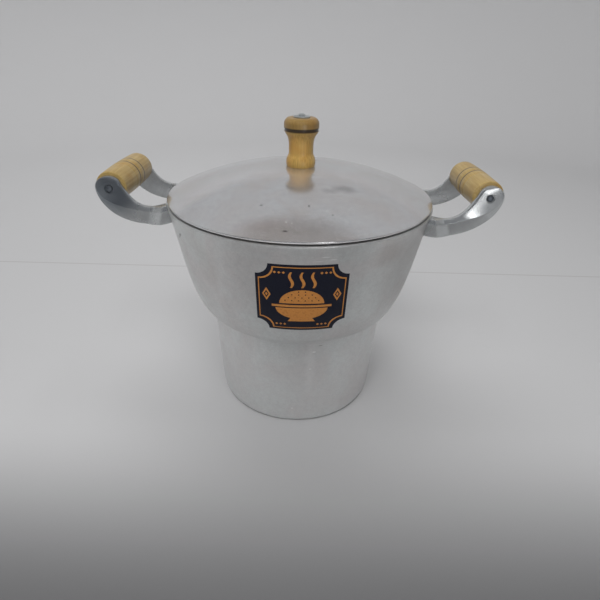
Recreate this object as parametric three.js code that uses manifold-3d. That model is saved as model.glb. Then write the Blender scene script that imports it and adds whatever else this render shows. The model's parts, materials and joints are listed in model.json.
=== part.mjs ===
// A cast aluminium couscous steamer: a narrow water pot that widens into a bowl, a domed lid with a
// turned wooden knob, a loose perforated plate on the ledge between pot and bowl, and two wooden grips
// that turn on bolts between pairs of cast arms. Millimetres, +Z up, origin under the middle of the base.
import * as THREE from 'three';
import { mergeVertices } from 'three/addons/utils/BufferGeometryUtils.js';
import Module from 'manifold-3d';

const wasm = await Module();
wasm.setup();

// Clearances and facet counts
const seatGap = 0.3;
const slidingClearance = 1;
const cutOverrun = 2;
const potFacets = 56;
const turnedFacets = 20;
const smallFacets = 12;
const tinyFacets = 8;
const hexSides = 6;
const roundHeadShares = [[1, 0], [0.85, 0.5], [0.5, 0.85], [0, 1]];
const searchSteps = 40;

// Pot
const potHeight = 207;
const rimRadius = 120;
const rimRound = 0.8;
const shoulderHeight = 102.5;
const shoulderRadius = 85.5;
const baseRadius = 79.5;
const baseCorner = 7;
const potWall = 3.5;
const potFloor = 4;
const innerCorner = 6;
const bowlLowerShares = [0.63, 0.02];
const bowlUpperShares = [0.75, 0.7];
const bowlSteps = 8;
const ledgeShare = 0.05;
const cornerSteps = 3;

// Lid
const lidInset = 1.2;
const lidEdge = 3;
const lidRise = 24.3;
const lidThickness = 2.6;
const skirtDepth = 3;
const skirtThickness = 2.5;
const domeSteps = 6;

// Knob and its fixing
const knobHeight = 40.4;
const knobHeadRadius = 15.2;
const knobNeckRadius = 10.8;
const knobBaseRadius = 13;
const knobTopRadius = 11.6;
const knobGrooveDepth = 0.5;
const knobNeckShare = 0.5;
const knobCrownShares = [[1, 0], [1, 0.45], [0.75, 0.75], [0.4, 0.92]];
const knobWaistShares = [
  [0.05, 0.05], [0.15, 0], [0.25, 0.35], [0.36, 0.94], [0.5, 1],
  [0.68, 0.96], [0.82, 0.74], [0.92, 0.35], [1, 0],
];
const waistSteps = 9;
const knobGrooveHeight = 2.3;
const knobGrooveShare = 0.74;
const knobBoltRadius = 1.6;
const knobBoltHeadRadius = 3.1;
const knobBoltHeadHeight = 2.1;
const knobWasherRadius = 7.2;
const washerThickness = 1.2;
const lidWasherRadius = 8;
const nutRadius = 4.2;
const nutHeight = 3;
const boltTail = 1.5;

// Steam plate and its lifting stem
const plateThickness = 2.5;
const steamHoleRadius = 2.6;
const steamHolePitch = 18;
const steamHoleMargin = 10;
const stemRadius = 3;
const stemLength = 40;
const collarRadius = 6.5;
const collarHeight = 5;
const stemNutRadius = 5.6;
const stemNutHeight = 4.5;
const pullRingRadius = 12;
const pullRingWire = 2.7;
const pullBossRadius = 4.6;
const pullBossHeight = 10;
const stemEngagement = 7;

// Handle arms
const gripPastRim = 38.5;
const gripAboveRim = 14;
const armReach = 58;
const armRootHeight = 14.8;
const armRootDrop = 27;
const frontFootLift = 3.6;
const armThickness = 6;
const armTopInset = 1.8;
const armLowerInset = 2.4;
const lobeRadius = 10;
const lobeReach = 12.2;
const lobeUpperAngle = THREE.MathUtils.degToRad(144);
const lobeLowerAngle = THREE.MathUtils.degToRad(-3);
const lobeSteps = 5;
const armSteps = 11;
const armUpperShares = [[0.49, -0.31], [0.675, -0.305]];
const armLowerShares = [[0.555, -0.545], [1.19, 0.08]];
const creaseRootShare = 0.24;
const creaseLobeShare = 0.9;
const creaseTurnShare = 0.5;
const footFlareOut = 5;
const footFlareIn = 3;
const footFlareLength = 9;

// Grips and their bolts
const gripLength = 72;
const gripRadius = 13.6;
const gripEndRadius = 12.8;
const gripEndRound = 1.2;
const gripLineDepth = 0.4;
const gripLineWidth = 0.9;
const gripLineSpacing = 11.5;
const gripLineShift = 4.5;
const gripBoltRadius = 2;
const gripBoltHeadRadius = 2.8;
const gripBoltHeadHeight = 1.8;
const gripNutRadius = 4;
const gripNutHeight = 3.2;
const headRecessMargin = 1;
const spotFaceSeat = 4.2;

// Rivets between the arms and the wall
const rivetRadius = 1.6;
const rivetHeadRadius = 2.4;
const rivetHeadHeight = 1.4;
const rivetGrip = 4;
const rivetSpacing = 5.2;
const rivetInset = 3.2;

// Places worked out from the sizes above
const lidRadius = rimRadius - lidInset;
const gripAxisX = rimRadius + gripPastRim;
const gripAxisZ = potHeight + gripAboveRim;
const gripEndY = gripLength / 2;
const armInnerY = gripEndY + seatGap;
const armRootX = gripAxisX - armReach;
const armRootZ = gripAxisZ - armRootDrop;
const armWallX = Math.sqrt(rimRadius ** 2 - armInnerY ** 2);
const lidSeatRadius = knobBaseRadius + seatGap;
const skirtBottom = potHeight - skirtDepth;
const lidTop = potHeight + lidEdge + lidRise;
const lidUnder = lidTop - lidThickness;
const knobBoltBore = knobBoltRadius + seatGap;
const gripBoltBore = gripBoltRadius + seatGap;
const stemBore = stemRadius + seatGap;

const finishes = {
  castAluminium: { color: 0xb4b4b8, roughness: 0.36, metalness: 0.9 },
  turnedWood: { color: 0xcfa45a, roughness: 0.42, metalness: 0 },
  platedSteel: { color: 0x8b8f94, roughness: 0.34, metalness: 0.9 },
};

const bowlCurve = new THREE.CubicBezierCurve(
  new THREE.Vector2(shoulderRadius, shoulderHeight),
  bowlControl(bowlLowerShares),
  bowlControl(bowlUpperShares),
  new THREE.Vector2(rimRadius, potHeight),
);

// A control point of the bowl's section, in shares of its spread and of its height.
function bowlControl([outShare, upShare]) {
  const spread = rimRadius - shoulderRadius;
  const height = potHeight - shoulderHeight;
  return new THREE.Vector2(shoulderRadius + spread * outShare, shoulderHeight + height * upShare);
}

// The bowl's outside at a share of its section, moved in square to the surface.
function bowlPoint(share, inset = 0) {
  const point = bowlCurve.getPoint(share);
  const tangent = bowlCurve.getTangent(share);
  return new THREE.Vector2(point.x - inset * tangent.y, point.y + inset * tangent.x);
}

// The share of a curve up to which a test holds, found by halving.
function shareWhile(holds) {
  let low = 0;
  let high = 1;
  for (let step = 0; step < searchSteps; step += 1) {
    const middle = (low + high) / 2;
    if (holds(middle)) low = middle;
    else high = middle;
  }
  return low;
}

// The share of the bowl's section where the surface, moved in by inset, reaches a height.
function bowlShareAt(height, inset = 0) {
  return shareWhile((share) => bowlPoint(share, inset).y < height);
}

// The bowl's section from one share to another, in even steps.
function bowlRun(fromShare, toShare, inset = 0) {
  const points = [];
  for (let step = 0; step <= bowlSteps; step += 1) {
    points.push(bowlPoint(THREE.MathUtils.lerp(fromShare, toShare, step / bowlSteps), inset));
  }
  return points;
}

// An arc about a centre, from one angle to another.
function arcPoints(centreX, centreY, radius, from, to, steps) {
  const points = [];
  for (let step = 0; step <= steps; step += 1) {
    const angle = THREE.MathUtils.lerp(from, to, step / steps);
    points.push(new THREE.Vector2(centreX + radius * Math.cos(angle), centreY + radius * Math.sin(angle)));
  }
  return points;
}

// A profile of radius and height turned round the Z axis.
function turned(profile, facets) {
  const points = profile.map((point) => (point.isVector2 ? point : new THREE.Vector2(...point)));
  return new THREE.LatheGeometry(points, facets).rotateX(Math.PI / 2);
}

// The corners of an even polygon.
function polygon(radius, sides, centreX = 0, centreY = 0) {
  return Array.from({ length: sides }, (_, side) => {
    const angle = (side / sides) * Math.PI * 2;
    return new THREE.Vector2(centreX + radius * Math.cos(angle), centreY + radius * Math.sin(angle));
  });
}

// A flat piece cut from an outline with holes, standing on Z = bottom.
function cutFromPlate(outline, holes, bottom, height) {
  const shape = new THREE.Shape(outline);
  shape.holes = holes.map((hole) => new THREE.Path(hole));
  const geometry = new THREE.ExtrudeGeometry(shape, { depth: height, bevelEnabled: false });
  return geometry.translate(0, 0, bottom);
}

// A closed mesh as a solid that can be joined or cut.
function solidOf(geometry) {
  const bare = geometry.clone();
  bare.deleteAttribute('normal');
  bare.deleteAttribute('uv');
  const merged = mergeVertices(bare);
  const corners = merged.index.array;
  const triVerts = [];
  for (let i = 0; i < corners.length; i += 3) {
    const [a, b, c] = [corners[i], corners[i + 1], corners[i + 2]];
    if (a !== b && b !== c && c !== a) triVerts.push(a, b, c);
  }
  const vertProperties = merged.attributes.position.array;
  const mesh = new wasm.Mesh({ numProp: 3, vertProperties, triVerts: new Uint32Array(triVerts) });
  return new wasm.Manifold(mesh);
}

// A solid back as a mesh geometry.
function geometryOf(solid) {
  const { vertProperties, triVerts } = solid.getMesh();
  const geometry = new THREE.BufferGeometry();
  geometry.setAttribute('position', new THREE.BufferAttribute(vertProperties, 3));
  geometry.setIndex(new THREE.BufferAttribute(triVerts, 1));
  geometry.computeVertexNormals();
  return geometry;
}

// A plain pin along Z, used for shanks and for the holes that take them.
function pin(radius, bottom, top, facets = smallFacets) {
  return turned([[0, bottom], [radius, bottom], [radius, top], [0, top]], facets);
}

// The side of a low round head on its seat, out to in; a negative height hangs it below the seat.
function roundHead(radius, seat, height) {
  return roundHeadShares.map(([outShare, upShare]) => [radius * outShare, seat + height * upShare]);
}

function addMesh(parent, name, geometry, finish) {
  const mesh = new THREE.Mesh(geometry, new THREE.MeshStandardMaterial(finish));
  mesh.name = name;
  parent.add(mesh);
  return mesh;
}

// The outside of the pot from the middle of its base to the rim's outer edge.
function potOutside(grow = 0) {
  const corner = arcPoints(baseRadius - baseCorner, baseCorner, baseCorner, -Math.PI / 2, 0, cornerSteps);
  const outside = [...corner, ...bowlRun(0, bowlShareAt(potHeight - rimRound))];
  outside.push(new THREE.Vector2(rimRadius - rimRound, potHeight));
  return outside.map((point) => new THREE.Vector2(point.x + grow, point.y));
}

// The ledge that the steam plate lies on: its height and its outer radius.
function ledge() {
  const point = bowlPoint(ledgeShare, potWall);
  return { height: point.y, radius: point.x };
}

function potInside() {
  const rimShare = bowlShareAt(potHeight - rimRound, potWall);
  const rimInner = bowlPoint(rimShare, potWall);
  const cornerX = baseRadius - potWall - innerCorner;
  const floorCorner = arcPoints(cornerX, potFloor + innerCorner, innerCorner, 0, -Math.PI / 2, cornerSteps);
  return [
    new THREE.Vector2(rimInner.x + rimRound, potHeight),
    ...bowlRun(rimShare, ledgeShare, potWall),
    new THREE.Vector2(shoulderRadius - potWall, ledge().height),
    ...floorCorner,
    new THREE.Vector2(0, potFloor),
  ];
}

// How far the bowl's outside leans out from upright at a height.
function wallLean(height) {
  const tangent = bowlCurve.getTangent(bowlShareAt(height));
  return Math.atan2(tangent.x, tangent.y);
}

// Where an arm's two rivets meet the wall, lower and upper, and how the wall leans there. They sit in the
// middle of the foot, or lower where their heads inside the pot would meet the lid's skirt.
function rivetPlaces(footLift) {
  const footY = armInnerY + rivetInset;
  const { upper, lower } = armEdges();
  const footMiddle = (edgeHeightAt(upper, armWallX) + edgeHeightAt(lower, armWallX)) / 2;
  const headReach = rivetHeadRadius + (potWall + seatGap) * Math.sin(wallLean(skirtBottom));
  const highest = skirtBottom - seatGap - headReach - rivetSpacing / 2;
  const middle = Math.min(footMiddle + liftAt(armWallX, footLift), highest);
  return [-1, 1].map((row) => {
    const height = middle + (row * rivetSpacing) / 2;
    const radius = bowlPoint(bowlShareAt(height)).x;
    return { height, radius, lean: wallLean(height), swing: Math.asin(footY / radius) };
  });
}

// Turns and moves a rivet's own frame, whose Z points out of the wall, to its place for one arm.
function rivetPlacement({ height, radius, lean, swing }, sideX, sideY) {
  const across = sideX * Math.cos(swing);
  const along = sideY * Math.sin(swing);
  const outward = new THREE.Vector3(across * Math.cos(lean), along * Math.cos(lean), -Math.sin(lean));
  const turn = new THREE.Quaternion().setFromUnitVectors(new THREE.Vector3(0, 0, 1), outward);
  const place = new THREE.Vector3(across * radius, along * radius, height);
  return new THREE.Matrix4().compose(place, turn, new THREE.Vector3(1, 1, 1));
}

function potBody() {
  let body = solidOf(turned([new THREE.Vector2(0, 0), ...potOutside(), ...potInside()], potFacets));
  const hole = pin(rivetRadius + seatGap, -potWall - cutOverrun, cutOverrun, tinyFacets);
  for (const { sideX, sideY, footLift } of armSides) {
    for (const place of rivetPlaces(footLift)) {
      body = body.subtract(solidOf(hole.clone().applyMatrix4(rivetPlacement(place, sideX, sideY))));
    }
  }
  return geometryOf(body);
}

// A rivet driven from inside the pot: a low round head, and a shank through the wall into the foot.
function rivet() {
  const under = -potWall - seatGap;
  return turned([
    ...roundHead(rivetHeadRadius, under, -rivetHeadHeight).reverse(),
    [rivetRadius, under],
    [rivetRadius, rivetGrip],
    [0, rivetGrip],
  ], tinyFacets);
}

// A point of an arm's edge curve: the control points are shares of the reach and of the drop.
function armEdge(start, controlShares, end) {
  const controls = controlShares.map(([outShare, upShare]) => (
    new THREE.Vector2(armRootX + armReach * outShare, start.y + armRootDrop * upShare)
  ));
  return new THREE.CubicBezierCurve(start, ...controls, end);
}

// A point on the round end of an arm, about the grip's axis; its outer half is drawn out a little.
function lobePoint(angle) {
  const reach = Math.cos(angle) > 0 ? lobeReach : lobeRadius;
  const x = gripAxisX + reach * Math.cos(angle);
  const z = gripAxisZ + lobeRadius * Math.sin(angle);
  return new THREE.Vector2(x, z);
}

// The upper and lower edge curves of an arm, from its root to the round end.
function armEdges() {
  const rootTop = new THREE.Vector2(armRootX, armRootZ + armRootHeight);
  const rootBottom = new THREE.Vector2(armRootX, armRootZ);
  return {
    upper: armEdge(rootTop, armUpperShares, lobePoint(lobeUpperAngle)),
    lower: armEdge(rootBottom, armLowerShares, lobePoint(lobeLowerAngle)),
  };
}

// The height at which an edge curve passes a distance from the pot's axis.
function edgeHeightAt(curve, x) {
  return curve.getPoint(shareWhile((share) => curve.getPoint(share).x < x)).y;
}

// How far an arm is lifted at a distance from the pot's axis: all of it at the root, none at the bolt.
function liftAt(x, footLift) {
  return footLift * THREE.MathUtils.clamp((gripAxisX - x) / armReach, 0, 1);
}

// Upper and lower edge points of an arm, from its root to the tip of the lobe round the bolt.
function armStations(footLift) {
  const { upper, lower } = armEdges();
  const lifted = (point) => new THREE.Vector2(point.x, point.y + liftAt(point.x, footLift));
  const stations = [];
  for (let step = 0; step <= armSteps; step += 1) {
    const share = step / armSteps;
    const turn = THREE.MathUtils.smoothstep(share, creaseTurnShare, 1);
    const crease = THREE.MathUtils.lerp(creaseRootShare, creaseLobeShare, turn);
    stations.push({ upper: lifted(upper.getPoint(share)), lower: lifted(lower.getPoint(share)), crease });
  }
  const halfSweep = (lobeUpperAngle - lobeLowerAngle) / 2;
  for (let step = 1; step < lobeSteps; step += 1) {
    const sweep = (halfSweep * step) / lobeSteps;
    const tip = { upper: lobePoint(lobeUpperAngle - sweep), lower: lobePoint(lobeLowerAngle + sweep) };
    stations.push({ upper: lifted(tip.upper), lower: lifted(tip.lower), crease: creaseLobeShare });
  }
  return stations;
}

// One section of an arm: flat inside, and outside two facets that meet at a crease.
function armSection({ upper, lower, crease }) {
  const flare = THREE.MathUtils.clamp(1 - (upper.x - armWallX) / footFlareLength, 0, 1);
  const inner = -(armInnerY - footFlareIn * flare);
  const outer = -(armInnerY + armThickness + footFlareOut * flare);
  const middle = upper.clone().lerp(lower, crease);
  return [
    new THREE.Vector3(upper.x, inner, upper.y),
    new THREE.Vector3(upper.x, outer + armTopInset, upper.y),
    new THREE.Vector3(middle.x, outer, middle.y),
    new THREE.Vector3(lower.x, outer + armLowerInset, lower.y),
    new THREE.Vector3(lower.x, inner, lower.y),
  ];
}

// A closed skin over sections that have the same number of points, with a flat cap at each end.
function loft(sections) {
  const count = sections[0].length;
  const positions = sections.flat().flatMap((point) => point.toArray());
  const corners = [];
  for (let ring = 0; ring + 1 < sections.length; ring += 1) {
    for (let side = 0; side < count; side += 1) {
      const a = ring * count + side;
      const b = ring * count + ((side + 1) % count);
      corners.push(a, b, a + count, b, b + count, a + count);
    }
  }
  const last = (sections.length - 1) * count;
  for (let side = 1; side + 1 < count; side += 1) {
    corners.push(0, side + 1, side, last, last + side, last + side + 1);
  }
  const geometry = new THREE.BufferGeometry();
  geometry.setAttribute('position', new THREE.Float32BufferAttribute(positions, 3));
  geometry.setIndex(corners);
  return geometry;
}

// The space that the pot and its lid take up, which an arm's foot is cut to.
function wallCutter() {
  const wall = potOutside(seatGap);
  const above = [new THREE.Vector2(rimRadius + seatGap, gripAxisZ), new THREE.Vector2(0, gripAxisZ)];
  return turned([new THREE.Vector2(0, 0), ...wall, ...above], potFacets);
}

// An arm as it stands at the front right. Its foot is cut to the wall, its rivet holes are blind, and the
// bolt goes through it, with a recess for the bolt's head or nut.
function armGeometry(footLift, recessRadius) {
  const casting = solidOf(loft(armStations(footLift).map(armSection)));
  let arm = casting.subtract(solidOf(wallCutter()));
  const rivetHole = pin(rivetRadius + seatGap, -cutOverrun, rivetGrip + seatGap, tinyFacets);
  for (const place of rivetPlaces(footLift)) {
    arm = arm.subtract(solidOf(rivetHole.clone().applyMatrix4(rivetPlacement(place, 1, -1))));
  }
  const boltHole = pin(gripBoltBore, 0, armInnerY + armThickness + cutOverrun);
  const spotFace = pin(recessRadius, armInnerY + spotFaceSeat, armInnerY + armThickness + cutOverrun);
  for (const cutter of [boltHole, spotFace]) {
    arm = arm.subtract(solidOf(cutter.rotateX(Math.PI / 2).translate(gripAxisX, 0, gripAxisZ)));
  }
  return geometryOf(arm);
}

// A copy mirrored to another side of the pot, with its faces kept pointing out.
function mirrored(geometry, sideX, sideY) {
  const copy = geometry.clone().scale(sideX, sideY, 1);
  if (sideX * sideY < 0) {
    const corners = copy.index.array;
    for (let i = 0; i < corners.length; i += 3) {
      [corners[i + 1], corners[i + 2]] = [corners[i + 2], corners[i + 1]];
    }
  }
  copy.computeVertexNormals();
  return copy;
}

// A turned wooden grip, a shallow barrel with two scored lines, bored for its bolt.
function grip() {
  const scored = [-1, 1].flatMap((side) => {
    const line = gripLineShift + (side * gripLineSpacing) / 2;
    const surface = gripSurface(line);
    const half = gripLineWidth / 2;
    return [[surface, line - half], [surface - gripLineDepth, line], [surface, line + half]];
  });
  const quarter = gripEndY / 2;
  const lowerSide = [[gripEndRadius, gripEndRound - gripEndY], [gripSurface(-quarter), -quarter]];
  const upperSide = [[gripSurface(quarter), quarter], [gripEndRadius, gripEndY - gripEndRound]];
  return turned([
    [gripBoltBore, -gripEndY],
    [gripEndRadius - gripEndRound, -gripEndY],
    ...lowerSide,
    ...scored,
    ...upperSide,
    [gripEndRadius - gripEndRound, gripEndY],
    [gripBoltBore, gripEndY],
    [gripBoltBore, -gripEndY],
  ], turnedFacets);
}

// The grip's barrel: widest in the middle.
function gripSurface(along) {
  const share = along / gripEndY;
  return gripRadius - (gripRadius - gripEndRadius) * share * share;
}

// The bolt of a grip, head at the front, drawn along Z and turned to lie along Y.
function gripBolt() {
  const seat = armInnerY + spotFaceSeat + seatGap;
  const tail = -(armInnerY + spotFaceSeat + seatGap + gripNutHeight + boltTail);
  return turned([
    [0, tail],
    [gripBoltRadius, tail],
    [gripBoltRadius, seat],
    ...roundHead(gripBoltHeadRadius, seat, gripBoltHeadHeight),
  ], smallFacets);
}

function gripNut() {
  return hexNut(gripNutRadius, gripBoltBore, -(armInnerY + spotFaceSeat + seatGap), gripNutHeight);
}

// The lid's top surface: flat under the knob, then a round fall to the edge.
function lidSurface(radius) {
  const share = (radius - lidSeatRadius) / (lidRadius - lidSeatRadius);
  return lidTop - lidRise * share * share;
}

function lidPlate() {
  const mouth = bowlPoint(bowlShareAt(skirtBottom, potWall), potWall).x;
  const skirtOuter = mouth - slidingClearance;
  const skirtInner = skirtOuter - skirtThickness;
  const over = [];
  const under = [];
  for (let step = 0; step <= domeSteps; step += 1) {
    const outer = THREE.MathUtils.lerp(lidRadius, lidSeatRadius, step / domeSteps);
    over.push([outer, lidSurface(outer)]);
    const inner = THREE.MathUtils.lerp(lidSeatRadius, skirtInner, step / domeSteps);
    under.push([inner, lidSurface(inner) - lidThickness]);
  }
  return turned([
    [skirtInner, skirtBottom],
    [skirtOuter, skirtBottom],
    [skirtOuter, potHeight],
    [lidRadius, potHeight],
    ...over,
    [knobBoltBore, lidTop],
    [knobBoltBore, lidUnder],
    ...under,
    [skirtInner, skirtBottom],
  ], potFacets);
}

// The knob: a waisted wooden turning with a burnt groove under its head.
function knob() {
  const grooveBottom = lidTop + knobHeight * knobGrooveShare;
  const grooveTop = grooveBottom + knobGrooveHeight;
  const top = lidTop + knobHeight;
  const waist = new THREE.SplineCurve(knobWaistShares.map(([upShare, neckShare]) => {
    const widest = upShare < knobNeckShare ? knobBaseRadius : knobHeadRadius;
    const radius = THREE.MathUtils.lerp(widest, knobNeckRadius, neckShare);
    return new THREE.Vector2(radius, THREE.MathUtils.lerp(lidTop, grooveBottom, upShare));
  }));
  const grooveFloor = knobHeadRadius - knobGrooveDepth;
  return turned([
    [knobBoltBore, lidTop],
    [knobBaseRadius - knobGrooveDepth, lidTop],
    ...waist.getPoints(waistSteps),
    [grooveFloor - knobGrooveDepth / 2, grooveBottom + knobGrooveDepth / 2],
    [grooveFloor, grooveTop],
    ...knobCrownShares.map(([outShare, upShare]) => [
      THREE.MathUtils.lerp(knobTopRadius, knobHeadRadius, outShare),
      THREE.MathUtils.lerp(grooveTop, top, upShare),
    ]),
    [knobTopRadius, top],
    [knobBoltBore, top],
    [knobBoltBore, lidTop],
  ], turnedFacets);
}

// The bolt that draws the knob down on the lid: a round head above, a nut and washer under the lid.
function knobBolt() {
  const seat = lidTop + knobHeight + washerThickness;
  const tail = lidUnder - washerThickness - nutHeight - boltTail;
  return turned([
    [0, tail],
    [knobBoltRadius, tail],
    [knobBoltRadius, seat],
    ...roundHead(knobBoltHeadRadius, seat, knobBoltHeadHeight),
  ], smallFacets);
}

// A washer for the knob's bolt, lying on its lower face.
function washer(radius, bottom) {
  const top = bottom + washerThickness;
  const section = [[knobBoltBore, bottom], [radius, bottom], [radius, top], [knobBoltBore, top]];
  return turned([...section, section[0]], turnedFacets);
}

// A six-sided nut that hangs below its upper face.
function hexNut(radius, bore, top, height) {
  return cutFromPlate(polygon(radius, hexSides), [polygon(bore, smallFacets)], top - height, height);
}

// The perforated plate: rings of steam holes round the stem, on the ledge between pot and bowl.
function steamPlate() {
  const radius = ledge().radius - slidingClearance;
  const holes = [polygon(stemBore, smallFacets)];
  const lastRing = radius - steamHoleMargin;
  const rings = Math.floor((lastRing - collarRadius) / steamHolePitch);
  for (let ring = 0; ring < rings; ring += 1) {
    const ringRadius = lastRing - ring * steamHolePitch;
    const count = Math.round((Math.PI * 2 * ringRadius) / steamHolePitch);
    for (let hole = 0; hole < count; hole += 1) {
      const angle = ((hole + ring / 2) / count) * Math.PI * 2;
      const place = [ringRadius * Math.cos(angle), ringRadius * Math.sin(angle)];
      holes.push(polygon(steamHoleRadius, tinyFacets, ...place));
    }
  }
  return cutFromPlate(polygon(radius, potFacets), holes, ledge().height, plateThickness);
}

// The stem: a rod with a fixed collar that lies on the plate, and a nut under it.
function liftingStem() {
  const plateTop = ledge().height + plateThickness;
  const tail = ledge().height - stemNutHeight - boltTail;
  return turned([
    [0, tail],
    [stemRadius, tail],
    [stemRadius, plateTop],
    [collarRadius, plateTop],
    [collarRadius, plateTop + collarHeight / 2],
    [stemRadius, plateTop + collarHeight],
    [stemRadius, plateTop + stemLength],
    [0, plateTop + stemLength],
  ], smallFacets);
}

// The pull ring: a round eye on a boss that is screwed over the top of the stem.
function pullRing() {
  const bossBottom = ledge().height + plateThickness + stemLength - stemEngagement;
  const centreZ = bossBottom + pullBossHeight + pullRingRadius;
  const eye = new THREE.TorusGeometry(pullRingRadius, pullRingWire, smallFacets, turnedFacets);
  const boss = pin(pullBossRadius, bossBottom, bossBottom + pullBossHeight);
  const bore = pin(stemBore, bossBottom - cutOverrun, bossBottom + stemEngagement + seatGap);
  const ring = solidOf(eye.rotateX(Math.PI / 2).translate(0, 0, centreZ)).add(solidOf(boss));
  return geometryOf(ring.subtract(solidOf(bore)));
}

// The arms are set by hand: the left front foot sits high on the wall and the right front one low.
const armSides = [
  { name: 'left_front', sideX: -1, sideY: -1, footLift: frontFootLift },
  { name: 'left_rear', sideX: -1, sideY: 1, footLift: 0 },
  { name: 'right_front', sideX: 1, sideY: -1, footLift: -frontFootLift },
  { name: 'right_rear', sideX: 1, sideY: 1, footLift: 0 },
];

function addPot(parent) {
  addMesh(parent, 'pot_body', potBody(), finishes.castAluminium);
}

function addArms(parent) {
  for (const { name, sideX, sideY, footLift } of armSides) {
    const recessRadius = sideY < 0 ? gripBoltHeadRadius + headRecessMargin : gripNutRadius + seatGap;
    const arm = mirrored(armGeometry(footLift, recessRadius), sideX, -sideY);
    addMesh(parent, `${name}_arm`, arm, finishes.castAluminium);
    rivetPlaces(footLift).forEach((place, row) => {
      const rivetName = `${name}_rivet_${['lower', 'upper'][row]}`;
      const mesh = addMesh(parent, rivetName, rivet(), finishes.castAluminium);
      mesh.applyMatrix4(rivetPlacement(place, sideX, sideY));
    });
  }
}

function addGrips(parent) {
  for (const { name, sideX } of [{ name: 'left', sideX: -1 }, { name: 'right', sideX: 1 }]) {
    const axle = new THREE.Group();
    axle.position.set(sideX * gripAxisX, 0, gripAxisZ);
    axle.rotation.x = Math.PI / 2;
    addMesh(axle, `${name}_grip`, grip(), finishes.turnedWood);
    addMesh(axle, `${name}_grip_bolt`, gripBolt(), finishes.platedSteel);
    addMesh(axle, `${name}_grip_nut`, gripNut(), finishes.platedSteel);
    parent.add(axle);
  }
}

function addLid(parent) {
  addMesh(parent, 'lid_plate', lidPlate(), finishes.castAluminium);
  addMesh(parent, 'knob', knob(), finishes.turnedWood);
  addMesh(parent, 'knob_washer', washer(knobWasherRadius, lidTop + knobHeight), finishes.platedSteel);
  addMesh(parent, 'knob_bolt', knobBolt(), finishes.platedSteel);
  addMesh(parent, 'lid_washer', washer(lidWasherRadius, lidUnder - washerThickness), finishes.platedSteel);
  const nut = hexNut(nutRadius, knobBoltBore, lidUnder - washerThickness, nutHeight);
  addMesh(parent, 'knob_nut', nut, finishes.platedSteel);
}

function addSteamPlate(parent) {
  addMesh(parent, 'steam_plate', steamPlate(), finishes.castAluminium);
  addMesh(parent, 'lifting_stem', liftingStem(), finishes.castAluminium);
  addMesh(parent, 'pull_ring', pullRing(), finishes.castAluminium);
  const nut = hexNut(stemNutRadius, stemBore, ledge().height, stemNutHeight);
  addMesh(parent, 'stem_nut', nut, finishes.platedSteel);
}

const steamer = new THREE.Group();
addPot(steamer);
addArms(steamer);
addGrips(steamer);
addLid(steamer);
addSteamPlate(steamer);

export default steamer;
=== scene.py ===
import bisect
import json
import math

import bmesh
import bpy
from mathutils import Matrix, Vector


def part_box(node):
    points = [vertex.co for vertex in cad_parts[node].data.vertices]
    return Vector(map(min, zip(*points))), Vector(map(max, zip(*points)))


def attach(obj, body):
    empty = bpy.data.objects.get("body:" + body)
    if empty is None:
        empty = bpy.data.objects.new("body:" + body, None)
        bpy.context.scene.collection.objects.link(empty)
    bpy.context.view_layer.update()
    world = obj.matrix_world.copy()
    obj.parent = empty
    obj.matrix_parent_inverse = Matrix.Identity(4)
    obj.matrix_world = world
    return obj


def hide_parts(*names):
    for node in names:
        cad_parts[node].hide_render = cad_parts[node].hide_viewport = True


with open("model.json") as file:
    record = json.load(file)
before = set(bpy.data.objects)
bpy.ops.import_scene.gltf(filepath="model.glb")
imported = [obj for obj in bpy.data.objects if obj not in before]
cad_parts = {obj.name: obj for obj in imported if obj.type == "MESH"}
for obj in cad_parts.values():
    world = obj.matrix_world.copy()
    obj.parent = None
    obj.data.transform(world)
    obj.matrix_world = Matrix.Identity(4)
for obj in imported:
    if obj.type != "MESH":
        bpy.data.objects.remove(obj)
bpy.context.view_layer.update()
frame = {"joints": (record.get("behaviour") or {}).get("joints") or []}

# Studio
# A pale floor that sweeps up into a wall all round, as in a light tent, so that the polished metal has
# something soft and even to mirror from every side. It isn't part of the steamer.
floor_radius = 1.3
sweep_radius = 0.5
wall_top = 1.1
floor_drop = 0.0002


def hex_colour(code):
    """An sRGB hex colour as the linear colour that a shader takes."""
    linear = []
    for start in (1, 3, 5):
        channel = int(code[start : start + 2], 16) / 255
        linear.append(channel / 12.92 if channel <= 0.04045 else ((channel + 0.055) / 1.055) ** 2.4)
    return (*linear, 1.0)


def add_node(tree, kind, settings=None, links=None):
    """Adds a node. Settings are its own values or its sockets' values. Links give its sources: outputs,
    or nodes, of which the first output is taken."""
    node = tree.nodes.new(kind)
    for name, value in (settings or {}).items():
        if isinstance(name, int) or name in node.inputs:
            node.inputs[name].default_value = value
        else:
            setattr(node, name, value)
    for name, source in (links or {}).items():
        output = source.outputs[0] if isinstance(source, bpy.types.Node) else source
        tree.links.new(output, node.inputs[name])
    return node


def new_material(name):
    """An empty material, its node tree, and the place on the piece that its patterns follow."""
    material = bpy.data.materials.new(name)
    material.use_nodes = True
    tree = material.node_tree
    tree.nodes.clear()
    return material, tree, add_node(tree, "ShaderNodeTexCoord").outputs["Object"]


def tinted(tree, under, tint, value, none, full, depth=1.0):
    """Lays a tint over a hex colour, or over a colour that was worked out. Some callers lay real stains
    with it, and some lay painted light and painted shade. It is absent where the value is at none, and
    has its depth where the value is at full."""
    share = add_node(tree, "ShaderNodeMapRange", {
        "From Min": none, "From Max": full, "To Max": depth,
    }, {"Value": value})
    mixed = add_node(tree, "ShaderNodeMix", {"data_type": "RGBA", 7: hex_colour(tint)}, {0: share})
    if isinstance(under, str):
        mixed.inputs[6].default_value = hex_colour(under)
    else:
        tree.links.new(under, mixed.inputs[6])
    return mixed.outputs[2]


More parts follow.
